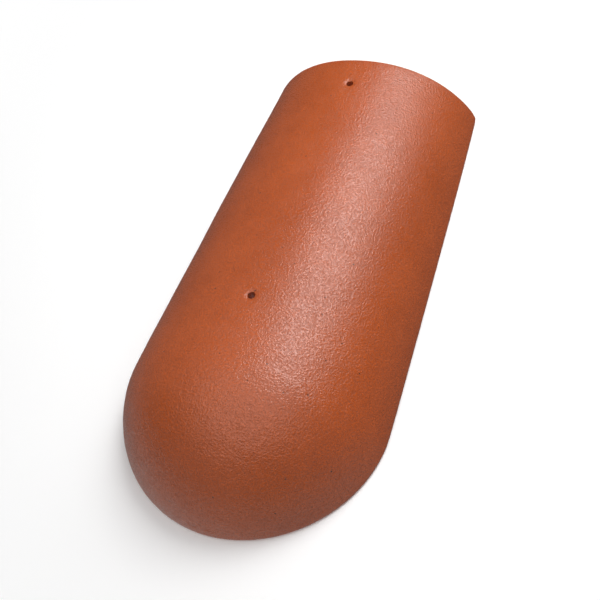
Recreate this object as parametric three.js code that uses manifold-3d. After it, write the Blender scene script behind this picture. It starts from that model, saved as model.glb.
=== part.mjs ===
// Ridge end tile: a tapering half-barrel of cast concrete, open and narrower at one end
// and closed by a rounded dome at the other, hollow below, with two nail holes on its crown.
// Millimetres, +Z up. X is the width, Y the length: the dome faces -Y, the lap end +Y.
// The origin is the middle of the rectangle that the tile stands on.
import * as THREE from "three";
import { LoftGeometry } from "three/addons/geometries/LoftGeometry.js";
import { mergeVertices } from "three/addons/utils/BufferGeometryUtils.js";
import Module from "manifold-3d";

// Driving dimensions
const tileLength = 450;
const wideArchRadius = 122; // arch of the outer skin where the dome begins
const wideCentreDepth = 33; // how far that arch's centre lies below the rim
const lapArchRadius = 114; // the same two at the narrow lap end
const lapCentreDepth = 45.5;
const archSquareness = 2.14; // exponent of the arch: 2 is a circle, more has fuller shoulders
const domeReach = 0.942; // the dome's depth as a share of its half width
const domeSquareness = 1.965; // exponent of the dome's plan: below 2 it meets the sides at a faint corner
const lapDrawIn = 1; // extra narrowing of each side at the lap end
const lapDrawInLength = 110; // where that narrowing starts, from the lap end
const wallThickness = 14;
const edgeRadius = 3; // rounding of the outer edge along the rim and round the lap end
const lapCornerRadius = 10; // of the corners where the rim meets the lap end, seen from the side
const nailHoleDiameter = 6;
const nailSeatDiameter = 9; // flat floor of the shallow recess round each nail hole
const nailSeatMouth = 12;
const nailSeatDepth = 0.7;
const nailHoleSetbacks = [33, 279]; // from the lap end to each nail hole

// How finely the round forms are divided
const archRows = 20;
const edgeSteps = 3;
const barrelStations = 12;
const domeStations = 30;
const holeSides = 24;
const cornerSteps = 6;
const cutOvershoot = 12; // how far the hollow's tool runs out past the rim and the lap end

const concrete = new THREE.MeshStandardMaterial({
  color: 0xb4552f,
  roughness: 0.42,
  metalness: 0,
});

const halfPi = Math.PI / 2;

// Half width of an arch at a height above the rim.
function archHalfWidth(radius, centreDepth, height) {
  const e = archSquareness;
  return Math.pow(radius ** e - (height + centreDepth) ** e, 1 / e);
}

// Distance from the centre to the edge of a unit superellipse, in the direction of an angle.
function squaredRound(angle, exponent) {
  const across = Math.abs(Math.sin(angle)) ** exponent;
  const along = Math.abs(Math.cos(angle)) ** exponent;
  return (across + along) ** (-1 / exponent);
}

const widestHalfWidth = archHalfWidth(wideArchRadius, wideCentreDepth, edgeRadius);
const domeStart = widestHalfWidth * domeReach; // from the dome's tip to where the barrel begins
const barrelLength = tileLength - domeStart;

// The arch at a distance from the dome's tip: it tapers evenly from the dome to the lap end.
function archAt(fromTip) {
  const share = Math.max(0, (fromTip - domeStart) / barrelLength);
  const intoLap = Math.max(0, (fromTip - tileLength) / lapDrawInLength + 1);
  return {
    radius: wideArchRadius + (lapArchRadius - wideArchRadius) * share,
    centreDepth: wideCentreDepth + (lapCentreDepth - wideCentreDepth) * share,
    drawIn: lapDrawIn * intoLap ** 2,
  };
}

// Height of the crown at a distance from the dome's tip.
function crownHeight(fromTip) {
  const arch = archAt(fromTip);
  return arch.radius - arch.centreDepth;
}

// Half of one cross section, from the rim up to the crown, as points (half width, height).
// The outer skin's edge is rounded at the rim, and the hollow's runs on below it.
function halfSection(fromTip, inset, rounding, below) {
  const { radius, centreDepth, drawIn } = archAt(fromTip);
  const skinRadius = radius - inset;
  const narrowing = 1 - drawIn / archHalfWidth(radius, centreDepth, 0);
  const points = [];
  if (rounding > 0) {
    for (let i = edgeSteps; i > 0; i--) {
      const turn = (i / edgeSteps) * halfPi;
      const height = rounding * (1 - Math.sin(turn));
      const cutBack = rounding * (1 - Math.cos(turn));
      const halfWidth = archHalfWidth(skinRadius, centreDepth, height);
      points.push(new THREE.Vector2(halfWidth * narrowing - cutBack, height));
    }
  }
  const lowest = rounding - below;
  const halfWidth = archHalfWidth(skinRadius, centreDepth, lowest);
  const widest = Math.atan2(halfWidth, lowest + centreDepth);
  for (let i = archRows; i >= 0; i--) {
    const angle = (i / archRows) * widest;
    const reach = skinRadius * squaredRound(angle, archSquareness);
    const height = reach * Math.cos(angle) - centreDepth;
    points.push(new THREE.Vector2(reach * Math.sin(angle) * narrowing, height));
  }
  return points;
}

// One side of the barrel as columns of points, from the lap end to where the dome begins.
function barrelColumns(inset, rounding, past) {
  const columns = [];
  if (rounding > 0) {
    for (let i = edgeSteps; i > 0; i--) {
      const turn = (i / edgeSteps) * halfPi;
      const fromTip = tileLength - rounding * (1 - Math.sin(turn));
      const cutBack = rounding * (1 - Math.cos(turn));
      columns.push({ fromTip, section: halfSection(fromTip, inset + cutBack, rounding, 0) });
    }
  }
  const far = tileLength - rounding + past;
  for (let i = barrelStations; i > 0; i--) {
    const fromTip = domeStart + ((far - domeStart) * i) / barrelStations;
    columns.push({ fromTip, section: halfSection(fromTip, inset, rounding, past) });
  }
  return columns;
}

// A closed solid under the tile's skin moved inwards by an inset. Each ring of the loft runs
// down the left side, round the dome and up the right side, and the rings climb from the
// rim to the crown line, where they shrink to nothing.
function skinSolid(inset, rounding, past) {
  const sides = barrelColumns(inset, rounding, past);
  const domeSection = halfSection(domeStart, inset, rounding, past);
  const middle = tileLength / 2;
  const rings = domeSection.map((domePoint, row) => {
    const side = sides.map(({ fromTip, section }) => [section[row], fromTip - middle]);
    const left = side.map(([p, y]) => new THREE.Vector3(-p.x, y, p.y));
    const right = side.map(([p, y]) => new THREE.Vector3(p.x, y, p.y)).reverse();
    const front = [];
    for (let i = 0; i <= domeStations; i++) {
      const angle = (i / domeStations - 0.5) * Math.PI;
      const reach = domePoint.x * squaredRound(angle, domeSquareness);
      const y = domeStart - middle - reach * domeReach * Math.cos(angle);
      front.push(new THREE.Vector3(reach * Math.sin(angle), y, domePoint.y));
    }
    return [...left, ...front, ...right];
  });
  return new LoftGeometry(rings, { capStart: true });
}

const wasm = await Module();
wasm.setup();

// A closed three.js geometry as a solid that can be joined and cut.
function toSolid(geometry) {
  const bare = new THREE.BufferGeometry();
  bare.setAttribute("position", geometry.getAttribute("position"));
  bare.setIndex(geometry.getIndex());
  const merged = mergeVertices(bare, 1e-4);
  const vertProperties = merged.attributes.position.array;
  const triVerts = new Uint32Array(merged.index.array);
  return new wasm.Manifold(new wasm.Mesh({ numProp: 3, vertProperties, triVerts }));
}

// The joined or cut solid as a three.js geometry with flat faces.
function toGeometry(solid) {
  const { vertProperties, triVerts } = solid.getMesh();
  const geometry = new THREE.BufferGeometry();
  geometry.setAttribute("position", new THREE.BufferAttribute(vertProperties, 3));
  geometry.setIndex(new THREE.BufferAttribute(triVerts, 1));
  const faceted = geometry.toNonIndexed();
  faceted.computeVertexNormals();
  return faceted;
}

// A nail hole right through the crown, and the shallow seat with a sloping edge round it.
function nailHoleTools(setback) {
  const fromTip = tileLength - setback;
  const crown = crownHeight(fromTip);
  const y = fromTip - tileLength / 2;
  const boreLength = 2 * wallThickness;
  const bore = new THREE.CylinderGeometry(nailHoleDiameter / 2, nailHoleDiameter / 2, boreLength, holeSides);
  bore.rotateX(halfPi);
  bore.translate(0, y, crown - wallThickness / 2);
  const slope = (nailSeatMouth - nailSeatDiameter) / 2 / nailSeatDepth;
  const seatHeight = 2 * nailSeatDepth;
  const topRadius = nailSeatDiameter / 2 + slope * seatHeight;
  const seat = new THREE.CylinderGeometry(topRadius, nailSeatDiameter / 2, seatHeight, holeSides);
  seat.rotateX(halfPi);
  seat.translate(0, y, crown - nailSeatDepth + seatHeight / 2);
  return [bore, seat];
}

// What rounds off the corners between the rim and the lap end, right across the tile.
function lapCornerTool() {
  const end = tileLength / 2;
  const centre = end - lapCornerRadius;
  const past = lapCornerRadius;
  const outline = new THREE.Shape();
  outline.moveTo(centre, 0);
  outline.lineTo(centre, -past);
  outline.lineTo(end + past, -past);
  outline.lineTo(end + past, lapCornerRadius);
  outline.lineTo(end, lapCornerRadius);
  outline.absarc(centre, lapCornerRadius, lapCornerRadius, 0, -halfPi, true);
  const width = 3 * wideArchRadius;
  const tool = new THREE.ExtrudeGeometry(outline, { depth: width, bevelEnabled: false, curveSegments: cornerSteps });
  const along = new THREE.Vector3(0, 1, 0);
  const up = new THREE.Vector3(0, 0, 1);
  const across = new THREE.Vector3(1, 0, 0);
  tool.applyMatrix4(new THREE.Matrix4().makeBasis(along, up, across));
  tool.translate(-width / 2, 0, 0);
  return tool;
}

let tile = toSolid(skinSolid(0, edgeRadius, 0));
tile = tile.subtract(toSolid(skinSolid(wallThickness, 0, cutOvershoot)));
tile = tile.subtract(toSolid(lapCornerTool()));
for (const setback of nailHoleSetbacks) {
  for (const tool of nailHoleTools(setback)) {
    tile = tile.subtract(toSolid(tool));
  }
}

const ridgeEndTile = new THREE.Mesh(toGeometry(tile), concrete);
ridgeEndTile.name = "ridge_end_tile";

const group = new THREE.Group();
group.add(ridgeEndTile);

export default group;
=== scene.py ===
# A ridge end tile of coated concrete: the fine tile, its two finishes, the light and the camera.
import math

import bmesh
import bpy
from mathutils import Matrix, Vector, noise


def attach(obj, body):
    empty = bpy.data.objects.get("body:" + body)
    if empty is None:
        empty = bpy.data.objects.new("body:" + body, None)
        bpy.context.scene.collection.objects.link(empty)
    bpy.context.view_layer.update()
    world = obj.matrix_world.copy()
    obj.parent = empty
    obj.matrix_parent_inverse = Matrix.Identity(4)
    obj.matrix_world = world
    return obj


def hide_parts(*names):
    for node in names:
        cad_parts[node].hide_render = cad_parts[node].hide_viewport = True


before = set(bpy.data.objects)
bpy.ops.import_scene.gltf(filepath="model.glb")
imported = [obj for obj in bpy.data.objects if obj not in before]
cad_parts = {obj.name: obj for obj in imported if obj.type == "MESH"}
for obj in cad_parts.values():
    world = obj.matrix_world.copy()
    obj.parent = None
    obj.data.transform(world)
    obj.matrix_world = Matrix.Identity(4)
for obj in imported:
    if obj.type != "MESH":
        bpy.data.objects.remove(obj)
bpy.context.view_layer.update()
scene = bpy.context.scene
mm = 0.001  # sizes are in millimetres here and turned to metres where a mesh is finished

# A Mix node's sockets for colours, which share their names with its sockets for numbers.
mixShare = 0
mixFirst = 6
mixSecond = 7
mixedColour = 2


# An sRGB hex colour as linear red, green, blue and alpha.
def linearColour(code):
    channels = [int(code[i:i + 2], 16) / 255 for i in (1, 3, 5)]
    linear = [c / 12.92 if c <= 0.04045 else ((c + 0.055) / 1.055) ** 2.4 for c in channels]
    return (*linear, 1.0)


# Adds one node, gives it settings, and sets or links its inputs.
def addNode(tree, kind, settings=None, inputs=None):
    node = tree.nodes.new(kind)
    for name, value in (settings or {}).items():
        setattr(node, name, value)
    for name, value in (inputs or {}).items():
        socket = node.inputs[name]
        if isinstance(value, bpy.types.NodeSocket):
            tree.links.new(value, socket)
        else:
            socket.default_value = value
    return node


# Texture scale for a pattern whose grains or waves are this many millimetres apart.
def patternScale(size):
    return 1 / (size * mm)


# Where a camera or lamp stands that looks at the origin. The azimuth runs round from straight
# in front of the dome, towards +X.
def lookingIn(azimuth, elevation, distance):
    turn = Matrix.Rotation(math.radians(azimuth), 4, "Z")
    tilt = Matrix.Rotation(math.radians(90 - elevation), 4, "X")
    return turn @ tilt @ Matrix.Translation((0, 0, distance * mm))


view = {
    "azimuth": 40.716,
    "elevation": 53.555,
    "roll": -25.395,
    "distance": 759.5,  # from the aim point to the lens
    "aim": (15.35, -21.1, 30.8),
    "focalLength": 53.9,
    "sensorWidth": 36,
    "nearest": 10,  # nothing closer to the lens than this is drawn
}


def makeCamera():
    data = bpy.data.cameras.new("studioCamera")
    data.lens = view["focalLength"]
    data.sensor_width = view["sensorWidth"]
    data.clip_start = view["nearest"] * mm
    camera = bpy.data.objects.new("studioCamera", data)
    aim = Matrix.Translation(Vector(view["aim"]) * mm)
    roll = Matrix.Rotation(math.radians(view["roll"]), 4, "Z")
    camera.matrix_world = aim @ lookingIn(view["azimuth"], view["elevation"], view["distance"]) @ roll
    scene.collection.objects.link(camera)
    scene.camera = camera


makeCamera()
print("camera placed")


tile = {
    "length": 450,
    "wideRadius": 122,  # arch of the skin where the dome begins
    "wideCentreDepth": 33,  # how far the arch's centre lies below the rim there
    "lapRadius": 114,  # the same two at the narrow lap end
    "lapCentreDepth": 45.5,
    "archSquareness": 2.14,  # 2 is a circle, more has fuller shoulders
    "domeReach": 0.942,  # the dome's depth as a share of its half width
    "domeSquareness": 1.965,  # of the dome's plan: below 2 it meets the sides at a faint corner
    "lapDrawIn": 1,  # extra narrowing of each side at the lap end
    "lapDrawInLength": 110,
    "taperBend": 26,  # the barrel's taper eases in over this much on each side of the dome's start
    "wall": 14,
    "slack": 0.1,  # keeps the fine skin just inside the solid that it stands for
    "edgeRadius": 3,
    "innerEdgeRadius": 1.2,
    "lapCornerRadius": 10,  # of the corners between the rim and the lap end, seen from the side
    "nailHole": 6.6,
    "nailHoleSides": 32,
    "nailHoleSetbacks": (33, 279),  # from the lap end
    "nailDish": 7,  # radius of the soft hollow pressed in round each nail hole
    "nailDishDepth": 1.8,
    "cell": 1.42,  # side of the outer skin's faces
    "innerCoarser": 3,  # the hollow's faces are this many times larger
    "roundingSteps": 4,
    "innerEdgeSteps": 2,
    "halfArchTurn": 1.3,  # radians from the crown to the foot of the wall, to count the faces by
    "domeShare": 0.78,  # of the faces that fit round the dome's foot, as they narrow higher up
    "meet": 0.01,  # points nearer than this are one
    "sharpAngle": 35,  # degrees past which an edge isn't shaded smooth
}


# Half width of an arch at a height above the rim.
def archHalfWidth(radius, centreDepth, height):
    power = tile["archSquareness"]
    return (radius ** power - (height + centreDepth) ** power) ** (1 / power)


# Distance from the centre to the edge of a unit superellipse at an angle.
def squaredRound(angle, exponent):
    return (abs(math.sin(angle)) ** exponent + abs(math.cos(angle)) ** exponent) ** (-1 / exponent)


widestHalf = archHalfWidth(tile["wideRadius"], tile["wideCentreDepth"], tile["edgeRadius"])
domeStart = widestHalf * tile["domeReach"]  # from the dome's tip to where the barrel begins
barrelLength = tile["length"] - domeStart
middle = tile["length"] / 2


# Radius, centre depth and width factor of the arch at a distance from the dome's tip. The taper
# starts in a soft bend, half on the dome and half on the barrel.
def archAt(fromTip):
    bend = tile["taperBend"]
    past = fromTip - domeStart
    if abs(past) < bend:
        past = (past + bend) ** 2 / (4 * bend)
    share = max(0, past / barrelLength)
    radius = tile["wideRadius"] + (tile["lapRadius"] - tile["wideRadius"]) * share
    centreDepth = tile["wideCentreDepth"] + (tile["lapCentreDepth"] - tile["wideCentreDepth"]) * share
    intoLap = max(0, (fromTip - tile["length"]) / tile["lapDrawInLength"] + 1)
    narrowing = 1 - tile["lapDrawIn"] * intoLap ** 2 / archHalfWidth(radius, centreDepth, 0)
    return radius, centreDepth, narrowing


# A point of the arch's right half: across runs from 0 at the crown to 1 at the foot of the wall,
# then round the edge to 2 on the underside.
def archPoint(fromTip, inset, rounding, across):
    radius, centreDepth, narrowing = archAt(fromTip)
    skin = radius - inset
    if across > 1:
        turn = (across - 1) * math.pi / 2
        height = rounding * (1 - math.sin(turn))
        cutBack = rounding * (1 - math.cos(turn))
        return archHalfWidth(skin, centreDepth, height) * narrowing - cutBack, height
    widest = math.atan2(archHalfWidth(skin, centreDepth, rounding), rounding + centreDepth)
    reach = skin * squaredRound(across * widest, tile["archSquareness"])
    width = reach * math.sin(across * widest) * narrowing
    return width, reach * math.cos(across * widest) - centreDepth


# How many faces the outer skin has up one side, along the barrel and round the dome. Each count
# can be divided by innerCoarser, so that the hollow's larger faces end in step with them.
def skinCounts():
    whole = tile["innerCoarser"]
    halfArch = tile["wideRadius"] * tile["halfArchTurn"] / tile["cell"] + tile["roundingSteps"]
    along = barrelLength / tile["cell"] + tile["roundingSteps"]
    halfTurn = math.pi * widestHalf * tile["domeShare"] / tile["cell"]
    halfColumns = whole * round(halfArch / whole)
    rows = whole * round(along / whole)
    spinSteps = 2 * whole * round(halfTurn / 2 / whole)
    return halfColumns, rows, spinSteps


# One skin of the tile: a sheet bent over the barrel, and its front edge spun round into the dome.
def makeSkin(bm, inset, rounding, coarser=1):
    halfColumns, rows, spinSteps = [count // coarser for count in skinCounts()]
    steps = tile["roundingSteps"] if rounding > 0 else 0
    acrossLayer = bm.verts.layers.float.new("across")
    sheet = bmesh.ops.create_grid(bm, x_segments=2 * halfColumns, y_segments=rows, size=1)["verts"]
    for vert in sheet:
        column = round(vert.co.x * halfColumns)
        row = round((vert.co.y + 1) / 2 * rows)
        across = abs(column) / (halfColumns - steps)
        turn = 0
        if across > 1:
            across = 1 + (abs(column) - halfColumns + steps) / steps
        if row > rows - steps:
            turn = (row - rows + steps) / steps * math.pi / 2
        along = min(row / (rows - steps), 1)
        fromTip = domeStart + (barrelLength - rounding) * along + rounding * math.sin(turn)
        cutBack = rounding * (1 - math.cos(turn))
        width, height = archPoint(fromTip, inset + cutBack, rounding, across)
        vert.co = (math.copysign(width, column), fromTip - middle, height)
        vert[acrossLayer] = across

    seam = domeStart - middle
    meet = tile["meet"]
    profile = [vert for vert in sheet if vert.co.y < seam + meet and vert.co.x > -meet]
    inProfile = set(profile)
    edges = [edge for edge in bm.edges if inProfile.issuperset(edge.verts)]
    copied = bmesh.ops.duplicate(bm, geom=profile + edges)["geom"]
    bmesh.ops.spin(
        bm, geom=copied, cent=(0, seam, 0), axis=(0, 0, -1), dvec=(0, 0, 0),
        angle=math.pi, steps=spinSteps, use_merge=False, use_duplicate=False,
    )
    for vert in bm.verts:
        if vert.co.y < seam - meet:
            angle = math.atan2(vert.co.x, seam - vert.co.y)
            shape = squaredRound(angle, tile["domeSquareness"])
            forward = math.hypot(vert.co.x, seam - vert.co.y) * shape * tile["domeReach"] * math.cos(angle)
            width, height = archPoint(domeStart - forward, inset, rounding, vert[acrossLayer])
            reach = width * shape
            vert.co = (reach * math.sin(angle), seam - reach * tile["domeReach"] * math.cos(angle), height)
    bmesh.ops.remove_doubles(bm, verts=bm.verts, dist=meet)
    bmesh.ops.recalc_face_normals(bm, faces=bm.faces)
    if sum(face.normal.z for face in bm.faces) < 0:
        bmesh.ops.reverse_faces(bm, faces=bm.faces)


relief = {
    "peel": 3.6,  # spacing of the soft bumps that the coating flows into
    "peelDepth": 0.13,
    "peelOnBarrel": 0.7,  # share of that depth there
    "peelGain": 0.4,  # what the dome has on top of that share
    "coarse": 9,  # slower waves from the pressed concrete below it
    "coarseDepth": 0.05,
    "swell": 60,  # broad unevenness of the whole casting
    "swellDepth": 0.45,
    "ripple": 8,  # shallow drag ripples across the dome's top
    "rippleStretch": 3.2,
    "rippleDepth": 0.13,
    "domeGrows": (20, 110),  # in front of the tile's middle, where the dome's own relief sets in
    "edgeFade": (0.3, 8),  # distances from the rim and the lap end over which the bumps set in
    "dishFade": (0.5, 1.2),  # the same round a nail hole, in radii of its dish
}

hollow = {
    "wave": 30,  # spacing of the slow unevenness that the form leaves
    "waveDepth": 0.5,
    "lump": 9,
    "lumpDepth": 0.25,
}


# 0 below a low value and 1 above a high one, with a soft step between them.
def smoothShare(value, low, high):
    share = min(1, max(0, (value - low) / (high - low)))
    return share * share * (3 - 2 * share)


# How far the surface lies below the even skin at a point, or above it where negative.
def reliefDepth(point):
    peel = noise.noise(point / relief["peel"])
    coarse = noise.noise(point / relief["coarse"])
    swell = noise.noise(point / relief["swell"])
    along = Vector((point.x / relief["rippleStretch"], point.y, point.z / relief["rippleStretch"]))
    ripple = noise.noise(along / relief["ripple"])
    nearDome = smoothShare(-point.y, *relief["domeGrows"])
    depth = relief["peelDepth"] * peel * (relief["peelOnBarrel"] + relief["peelGain"] * nearDome)
    depth += relief["coarseDepth"] * coarse + relief["swellDepth"] * swell
    return depth + relief["rippleDepth"] * ripple * nearDome


def nailCentre(setback):
    fromTip = tile["length"] - setback
    radius, centreDepth, _ = archAt(fromTip)
    return Vector((0, fromTip - middle, radius - centreDepth))


nailCentres = [nailCentre(setback) for setback in tile["nailHoleSetbacks"]]


def nearestNail(point):
    return min((point - centre).length for centre in nailCentres)


# Presses the coating's bumps and the dishes round the nail holes into the outer skin, whose faces
# are halved near the holes first.
def pressRelief(bm):
    finer = relief["dishFade"][1] * tile["nailDish"]
    near = {vert for vert in bm.verts if nearestNail(vert.co) < finer}
    around = [edge for edge in bm.edges if not near.isdisjoint(edge.verts)]
    bmesh.ops.subdivide_edges(bm, edges=around, cuts=1, use_grid_fill=True)
    bm.normal_update()
    for vert in bm.verts:
        dish = nearestNail(vert.co) / tile["nailDish"]
        fade = smoothShare(min(vert.co.z, middle - vert.co.y), *relief["edgeFade"])
        fade *= smoothShare(dish, *relief["dishFade"])
        depth = reliefDepth(vert.co) * fade
        if dish < 1:
            depth += tile["nailDishDepth"] * (0.5 + 0.5 * math.cos(dish * math.pi))
        vert.co -= vert.normal * depth


# Roughens the hollow with the slow unevenness of concrete rammed against a form.
def pressHollow(bm):
    bm.normal_update()
    for vert in bm.verts:
        if not vert.is_boundary:
            depth = hollow["waveDepth"] * noise.noise(vert.co / hollow["wave"])
            depth += hollow["lumpDepth"] * noise.noise(vert.co / hollow["lump"])
            vert.co += vert.normal * depth


def openEdges(bm):
    return [edge for edge in bm.edges if edge.is_boundary]


# Bends the sharp corners between the rim and the lap end round, right across the tile.
def roundLapCorners(bm):
    radius = tile["lapCornerRadius"]
    for vert in bm.verts:
        towardsEnd = 1 - (middle - vert.co.y) / radius
        downwards = 1 - vert.co.z / radius
        if towardsEnd > 0 and downwards > 0:
            pull = max(towardsEnd, downwards) / math.hypot(towardsEnd, downwards)
            vert.co.y = middle - radius * (1 - towardsEnd * pull)
            vert.co.z = radius * (1 - downwards * pull)


# The whole tile: outer skin, hollow, and the flat rim and lap end that join them.
def makeTile():
    bm = bmesh.new()
    makeSkin(bm, tile["slack"], tile["edgeRadius"])
    pressRelief(bm)
    outerEdge = openEdges(bm)
    outerFaces = len(bm.faces)

    inside = bmesh.new()
    makeSkin(inside, tile["wall"], 0, tile["innerCoarser"])
    pressHollow(inside)
    mesh = bpy.data.meshes.new("hollow")
    inside.to_mesh(mesh)
    inside.free()
    bm.from_mesh(mesh)
    bpy.data.meshes.remove(mesh)
    innerEdge = [edge for edge in openEdges(bm) if edge not in outerEdge]
    bmesh.ops.subdivide_edges(bm, edges=innerEdge, cuts=tile["innerCoarser"] - 1)
    innerEdge = [edge for edge in openEdges(bm) if edge not in outerEdge]
    bmesh.ops.bridge_loops(bm, edges=outerEdge + innerEdge)
    bm.faces.ensure_lookup_table()
    for face in bm.faces[outerFaces:]:
        face.material_index = 1
    bmesh.ops.bevel(
        bm, geom=innerEdge, offset=tile["innerEdgeRadius"], offset_type="OFFSET",
        segments=tile["innerEdgeSteps"], profile=0.5, affect="EDGES", material=-1,
    )
    for vert in bm.verts:  # the bevel's corners stay in the planes of the rim and the lap end
        vert.co.y = min(vert.co.y, middle)
        vert.co.z = max(vert.co.z, 0)
    roundLapCorners(bm)
    bmesh.ops.recalc_face_normals(bm, faces=bm.faces)
    return bm


# An object from a mesh in millimetres, turned to metres with its place in the mesh.
def finishMesh(bm, name, materials):
    bmesh.ops.scale(bm, vec=(mm, mm, mm), verts=bm.verts)
    mesh = bpy.data.meshes.new(name)
    bm.to_mesh(mesh)
    bm.free()
    for material in materials:
        mesh.materials.append(material)
    piece = bpy.data.objects.new(name, mesh)
    scene.collection.objects.link(piece)
    return piece


# Drills the nail holes straight down through the crown.
def drillNailHoles(piece):
    bm = bmesh.new()
    radius = tile["nailHole"] / 2
    for centre in nailCentres:
        bmesh.ops.create_cone(
            bm, cap_ends=True, segments=tile["nailHoleSides"], radius1=radius, radius2=radius,
            depth=3 * tile["wall"], matrix=Matrix.Translation(centre),
        )
    drill = finishMesh(bm, "nailDrill", piece.data.materials)
    cut = piece.modifiers.new("nailHoles", "BOOLEAN")
    cut.operation = "DIFFERENCE"
    cut.solver = "EXACT"
    cut.object = drill
    cut.material_mode = "INDEX"
    bpy.context.view_layer.update()
    finished = piece.evaluated_get(bpy.context.evaluated_depsgraph_get())
    drilled = bpy.data.meshes.new_from_object(finished)
    piece.modifiers.clear()
    whole = piece.data
    piece.data = drilled
    bpy.data.meshes.remove(whole)
    bpy.data.objects.remove(drill)


coating = {
    "deep": "#a94e23",  # where the coat lies a little thicker
    "pale": "#b25428",
    "patch": 55,  # size of the soft patches between the two
    "patchRange": (0.34, 0.66),  # of the noise, from all deep to all pale
    "grain": 1.5,  # spacing of the fine grains that the coat dries into, coarse enough to show
    "grainRange": (0.3, 0.7),  # of the noise, from a dip to a top
    "grainDepth": 0.5,
    "grainSpeckleAndShade": (0.82, 1.13),  # colour in the dips and on the tops of the grains: the coat's own speckle, with painted shade in the dips and painted light on the tops
    "dipRange": (0.3, 0.6),  # of the noise, where the dips turn duller
    "dipDullness": 0.3,  # how much rougher the dips are
    # painted shade: the pores are coloured dark for the shade inside them
    "poreShadeColour": "#4f2a1c",
    "poreSpacing": 14,
    "poreRadius": 0.75,
    "poreEdge": (0.5, 1.2),  # its wall runs from here to here, in radii of the pore
    "poreDepth": 0.3,
    "roughness": (0.2, 0.28),
    "ior": 1.56,
    "sheenPatch": 14,  # size of the duller and glossier places
    "sheenRange": (0.3, 0.7),
}


# Cast concrete under a sprayed acrylic coat: an even terracotta with a satin, orange-peel gloss
# that breaks the highlight into grains, coloured with the coat's own speckle and with painted shade in
# their dips and painted light on their tops, and a few pin pores left open by air, painted dark for the
# shade inside them.
def coatedConcrete():
    material = bpy.data.materials.new("acrylicCoatedConcrete")
    material.use_nodes = True
    tree = material.node_tree
    shader = tree.nodes["Principled BSDF"]
    place = addNode(tree, "ShaderNodeTexCoord").outputs["Object"]

    patches = addNode(tree, "ShaderNodeTexNoise", inputs={
        "Vector": place, "Scale": patternScale(coating["patch"]), "Detail": 3.0, "Roughness": 0.55,
    }).outputs["Fac"]
    patchShare = addNode(tree, "ShaderNodeMapRange", inputs={
        "Value": patches, "From Min": coating["patchRange"][0], "From Max": coating["patchRange"][1],
    }).outputs["Result"]
    ground = addNode(tree, "ShaderNodeMix", {"data_type": "RGBA"}, {
        mixShare: patchShare,
        mixFirst: linearColour(coating["deep"]),
        mixSecond: linearColour(coating["pale"]),
    }).outputs[mixedColour]
    grains = addNode(tree, "ShaderNodeTexNoise", inputs={
        "Vector": place, "Scale": patternScale(coating["grain"]), "Detail": 1.0, "Roughness": 0.5,
    }).outputs["Fac"]
    grainSpeckleAndShade = addNode(tree, "ShaderNodeMapRange", inputs={
        "Value": grains, "From Min": coating["grainRange"][0], "From Max": coating["grainRange"][1],
        "To Min": coating["grainSpeckleAndShade"][0], "To Max": coating["grainSpeckleAndShade"][1],
    }).outputs["Result"]
    # The grains' colour is partly the coat's own speckle and partly painted shade in their dips and
    # painted light on their tops.
    speckledAndShaded = addNode(tree, "ShaderNodeVectorMath", {"operation": "SCALE"}, {
        0: ground, "Scale": grainSpeckleAndShade,
    }).outputs["Vector"]

    pits = addNode(tree, "ShaderNodeTexVoronoi", {"feature": "F1"}, {
        "Vector": place, "Scale": patternScale(coating["poreSpacing"]),
    }).outputs["Distance"]
    pore = addNode(tree, "ShaderNodeMapRange", {"interpolation_type": "SMOOTHSTEP"}, {
        "Value": pits,
        "From Min": coating["poreEdge"][0] * coating["poreRadius"] / coating["poreSpacing"],
        "From Max": coating["poreEdge"][1] * coating["poreRadius"] / coating["poreSpacing"],
        "To Min": 1.0, "To Max": 0.0,
    }).outputs["Result"]
    # Painted shade: the pores are coloured dark for the shade inside them.
    colour = addNode(tree, "ShaderNodeMix", {"data_type": "RGBA"}, {
        mixShare: pore, mixFirst: speckledAndShaded, mixSecond: linearColour(coating["poreShadeColour"]),
    }).outputs[mixedColour]
    tree.links.new(colour, shader.inputs["Base Color"])

    sheen = addNode(tree, "ShaderNodeTexNoise", inputs={
        "Vector": place, "Scale": patternScale(coating["sheenPatch"]), "Detail": 3.0,
    }).outputs["Fac"]
    tops = addNode(tree, "ShaderNodeMapRange", inputs={
        "Value": sheen, "From Min": coating["sheenRange"][0], "From Max": coating["sheenRange"][1],
        "To Min": coating["roughness"][0], "To Max": coating["roughness"][1],
    }).outputs["Result"]
    dullness = addNode(tree, "ShaderNodeMapRange", inputs={
        "Value": grains, "From Min": coating["dipRange"][0], "From Max": coating["dipRange"][1],
        "To Min": coating["dipDullness"], "To Max": 0.0,
    }).outputs["Result"]
    roughness = addNode(tree, "ShaderNodeMath", {"operation": "ADD"}, {0: tops, 1: dullness})
    tree.links.new(roughness.outputs["Value"], shader.inputs["Roughness"])

    grained = addNode(tree, "ShaderNodeBump", inputs={
        "Height": grains, "Distance": coating["grainDepth"] * mm, "Strength": 1.0,
    }).outputs["Normal"]
    pitted = addNode(tree, "ShaderNodeBump", {"invert": True}, {
        "Height": pore, "Distance": coating["poreDepth"] * mm, "Strength": 1.0, "Normal": grained,
    }).outputs["Normal"]
    tree.links.new(pitted, shader.inputs["Normal"])
    shader.inputs["IOR"].default_value = coating["ior"]
    return material


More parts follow.
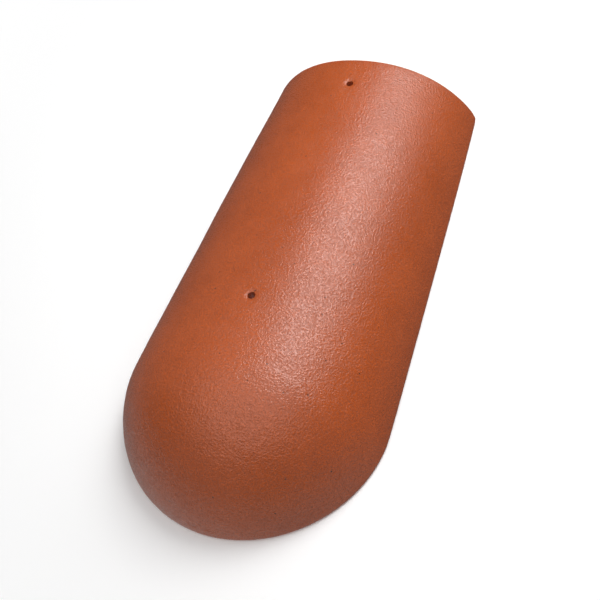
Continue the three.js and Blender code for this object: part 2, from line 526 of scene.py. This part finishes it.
raw = {
    "paste": "#94715f",
    "darkPaste": "#7b5b4b",
    "patch": 38,  # size of the damper and drier patches of paste
    "patchRange": (0.35, 0.65),  # of the noise, from all dark to all pale
    "sand": "#b79a86",
    "sandSize": 2.2,
    "sandEdge": (0.12, 0.4),  # how far from its middle a grain fades into the paste, in grain sizes
    "sandShare": 0.55,  # how much of the sand's colour shows through the paste
    "overspray": "#a9573a",
    "oversprayReach": 16,  # the coat's dust reaches this far in from the rim and the lap end
    "oversprayShare": 0.9,
    "oversprayCut": -0.1,  # ends the dust a little before its reach
    # painted shade: the voids are coloured dark for the shade inside them
    "voidShadeColour": "#3f2d25",
    "voidSpacing": 7,
    "voidRadius": 0.9,
    "voidEdge": (0.6, 1.2),  # its wall runs from here to here, in radii of the void
    "voidDepth": 0.6,
    "grit": 1.3,
    "gritDepth": 0.25,
    "roughness": 0.92,
    "ior": 1.5,
}


# The bare concrete of the hollow, the rim and the lap end: through-coloured cement and sand, dull
# and gritty, with small air voids painted dark for the shade inside them, and a dusting of the coat near
# the edges.
def rawConcrete():
    material = bpy.data.materials.new("bareCastConcrete")
    material.use_nodes = True
    tree = material.node_tree
    shader = tree.nodes["Principled BSDF"]
    place = addNode(tree, "ShaderNodeTexCoord").outputs["Object"]

    patches = addNode(tree, "ShaderNodeTexNoise", inputs={
        "Vector": place, "Scale": patternScale(raw["patch"]), "Detail": 5.0, "Roughness": 0.6,
    }).outputs["Fac"]
    patchShare = addNode(tree, "ShaderNodeMapRange", inputs={
        "Value": patches, "From Min": raw["patchRange"][0], "From Max": raw["patchRange"][1],
    }).outputs["Result"]
    paste = addNode(tree, "ShaderNodeMix", {"data_type": "RGBA"}, {
        mixShare: patchShare,
        mixFirst: linearColour(raw["darkPaste"]),
        mixSecond: linearColour(raw["paste"]),
    }).outputs[mixedColour]
    grains = addNode(tree, "ShaderNodeTexVoronoi", {"feature": "F1"}, {
        "Vector": place, "Scale": patternScale(raw["sandSize"]),
    }).outputs["Distance"]
    grainShare = addNode(tree, "ShaderNodeMapRange", {"interpolation_type": "SMOOTHSTEP"}, {
        "Value": grains, "From Min": raw["sandEdge"][0], "From Max": raw["sandEdge"][1],
        "To Min": raw["sandShare"], "To Max": 0.0,
    }).outputs["Result"]
    sanded = addNode(tree, "ShaderNodeMix", {"data_type": "RGBA"}, {
        mixShare: grainShare, mixFirst: paste, mixSecond: linearColour(raw["sand"]),
    }).outputs[mixedColour]

    axes = addNode(tree, "ShaderNodeSeparateXYZ", inputs={"Vector": place})
    fromRim = addNode(tree, "ShaderNodeMapRange", inputs={
        "Value": axes.outputs["Z"], "From Min": 0.0, "From Max": raw["oversprayReach"] * mm,
        "To Min": 1.0, "To Max": 0.0,
    }).outputs["Result"]
    fromLap = addNode(tree, "ShaderNodeMapRange", inputs={
        "Value": axes.outputs["Y"], "From Min": (middle - raw["oversprayReach"]) * mm,
        "From Max": middle * mm,
    }).outputs["Result"]
    nearEdge = addNode(tree, "ShaderNodeMath", {"operation": "MAXIMUM"}, {
        0: fromRim, 1: fromLap,
    }).outputs["Value"]
    dust = addNode(tree, "ShaderNodeMath", {"operation": "MULTIPLY_ADD"}, {
        0: nearEdge, 1: raw["oversprayShare"], 2: raw["oversprayCut"],
    }).outputs["Value"]
    spray = addNode(tree, "ShaderNodeMath", {"operation": "MULTIPLY", "use_clamp": True}, {
        0: dust, 1: patchShare,
    }).outputs["Value"]
    dusted = addNode(tree, "ShaderNodeMix", {"data_type": "RGBA"}, {
        mixShare: spray, mixFirst: sanded, mixSecond: linearColour(raw["overspray"]),
    }).outputs[mixedColour]

    voids = addNode(tree, "ShaderNodeTexVoronoi", {"feature": "F1"}, {
        "Vector": place, "Scale": patternScale(raw["voidSpacing"]),
    }).outputs["Distance"]
    hole = addNode(tree, "ShaderNodeMapRange", {"interpolation_type": "SMOOTHSTEP"}, {
        "Value": voids,
        "From Min": raw["voidEdge"][0] * raw["voidRadius"] / raw["voidSpacing"],
        "From Max": raw["voidEdge"][1] * raw["voidRadius"] / raw["voidSpacing"],
        "To Min": 1.0, "To Max": 0.0,
    }).outputs["Result"]
    # Painted shade: the voids are coloured dark for the shade inside them.
    colour = addNode(tree, "ShaderNodeMix", {"data_type": "RGBA"}, {
        mixShare: hole, mixFirst: dusted, mixSecond: linearColour(raw["voidShadeColour"]),
    }).outputs[mixedColour]
    tree.links.new(colour, shader.inputs["Base Color"])

    grit = addNode(tree, "ShaderNodeTexNoise", inputs={
        "Vector": place, "Scale": patternScale(raw["grit"]), "Detail": 4.0, "Roughness": 0.65,
    }).outputs["Fac"]
    gritty = addNode(tree, "ShaderNodeBump", inputs={
        "Height": grit, "Distance": raw["gritDepth"] * mm, "Strength": 1.0,
    }).outputs["Normal"]
    pitted = addNode(tree, "ShaderNodeBump", {"invert": True}, {
        "Height": hole, "Distance": raw["voidDepth"] * mm, "Strength": 1.0, "Normal": gritty,
    }).outputs["Normal"]
    tree.links.new(pitted, shader.inputs["Normal"])
    shader.inputs["Roughness"].default_value = raw["roughness"]
    shader.inputs["IOR"].default_value = raw["ior"]
    return material


print("building the tile")
ridgeEndTile = finishMesh(makeTile(), "ridgeEndTile", [coatedConcrete(), rawConcrete()])
drillNailHoles(ridgeEndTile)
ridgeEndTile.data.shade_smooth()
ridgeEndTile.data.set_sharp_from_angle(angle=math.radians(tile["sharpAngle"]))
print("tile has", sum(len(face.vertices) - 2 for face in ridgeEndTile.data.polygons), "triangles")
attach(ridgeEndTile, "root")
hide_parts("ridge_end_tile")


studio = {
    "floorColour": "#ffffff",
    "floorRoughness": 0.9,
    "floorHalf": 4000,
    "floorDrop": 0.05,  # keeps the paper just clear of the rim that stands on it
    "fade": (270, 620),  # from the middle, where the paper's shadows fade into an even white
    "roomColour": "#ffffff",
    "frontGlow": 0.66,  # what the tile sees of the paper, below the horizon, in front and behind
    "backGlow": 0.16,
    "glowTurn": 0.5,  # each is full from this far to the front or back on, 1 being straight there
    "horizonBlur": 0.05,
}

# azimuth and elevation in degrees, distance, size, watts
softboxes = {
    "keySoftbox": (152, 43, 1700, 1350, 13),
    "keyCore": (157, 53, 1700, 850, 13),
    "topSoftbox": (30, 80, 1800, 2250, 19),
    "frontFill": (-20, 38, 1700, 2100, 3.8),
    "rightFill": (60, 36, 1700, 2100, 2.5),
    "leftFill": (-110, 35, 1700, 2000, 2.5),
}


def makeFloor():
    material = bpy.data.materials.new("paleStudioPaper")
    material.use_nodes = True
    tree = material.node_tree
    paper = linearColour(studio["floorColour"])
    shader = tree.nodes["Principled BSDF"]
    shader.inputs["Base Color"].default_value = paper
    shader.inputs["Roughness"].default_value = studio["floorRoughness"]
    place = addNode(tree, "ShaderNodeTexCoord").outputs["Object"]
    away = addNode(tree, "ShaderNodeVectorMath", {"operation": "LENGTH"}, {0: place}).outputs["Value"]
    far = addNode(tree, "ShaderNodeMapRange", {"interpolation_type": "SMOOTHSTEP"}, {
        "Value": away, "From Min": studio["fade"][0] * mm, "From Max": studio["fade"][1] * mm,
    }).outputs["Result"]
    white = addNode(tree, "ShaderNodeEmission", inputs={"Color": paper})
    faded = addNode(tree, "ShaderNodeMixShader", inputs={
        "Fac": far, 1: shader.outputs["BSDF"], 2: white.outputs["Emission"],
    }).outputs["Shader"]
    tree.links.new(faded, tree.nodes["Material Output"].inputs["Surface"])
    bm = bmesh.new()
    bmesh.ops.create_grid(bm, x_segments=1, y_segments=1, size=studio["floorHalf"])
    bmesh.ops.translate(bm, vec=(0, 0, -studio["floorDrop"]), verts=bm.verts)
    floor = finishMesh(bm, "studioFloor", [material])
    # The paper is bright enough to look white, so the tile neither mirrors it nor is lit by it.
    # The room's front and back glow, below the horizon, stand in for it there.
    floor.visible_glossy = False
    floor.visible_diffuse = False


# A square soft box that looks at the tile from a direction and a distance.
def makeSoftbox(name, azimuth, elevation, distance, size, power):
    data = bpy.data.lights.new(name, "AREA")
    data.shape = "SQUARE"
    data.size = size * mm
    data.energy = power
    lamp = bpy.data.objects.new(name, data)
    lamp.matrix_world = lookingIn(azimuth, elevation, distance)
    lamp.visible_camera = False
    scene.collection.objects.link(lamp)


# The room glows below the horizon, more in front than behind, and the backdrop is plain white.
def makeRoom():
    world = bpy.data.worlds.new("studioRoom")
    world.use_nodes = True
    scene.world = world
    tree = world.node_tree
    way = addNode(tree, "ShaderNodeTexCoord").outputs["Generated"]
    axes = addNode(tree, "ShaderNodeSeparateXYZ", inputs={"Vector": way})
    below = addNode(tree, "ShaderNodeMapRange", {"interpolation_type": "SMOOTHSTEP"}, {
        "Value": axes.outputs["Z"],
        "From Min": -studio["horizonBlur"], "From Max": studio["horizonBlur"],
        "To Min": 1.0, "To Max": 0.0,
    }).outputs["Result"]
    frontToBack = addNode(tree, "ShaderNodeMapRange", {"interpolation_type": "SMOOTHSTEP"}, {
        "Value": axes.outputs["Y"],
        "From Min": -studio["glowTurn"], "From Max": studio["glowTurn"],
        "To Min": studio["frontGlow"], "To Max": studio["backGlow"],
    }).outputs["Result"]
    glow = addNode(tree, "ShaderNodeMath", {"operation": "MULTIPLY"}, {
        0: below, 1: frontToBack,
    }).outputs["Value"]
    backdrop = addNode(tree, "ShaderNodeLightPath").outputs["Is Camera Ray"]
    strength = addNode(tree, "ShaderNodeMath", {"operation": "MAXIMUM"}, {
        0: glow, 1: backdrop,
    }).outputs["Value"]
    background = tree.nodes["Background"]
    background.inputs["Color"].default_value = linearColour(studio["roomColour"])
    tree.links.new(strength, background.inputs["Strength"])


makeFloor()
for name, placing in softboxes.items():
    makeSoftbox(name, *placing)
makeRoom()
scene.view_settings.view_transform = "Standard"
print("studio lit")
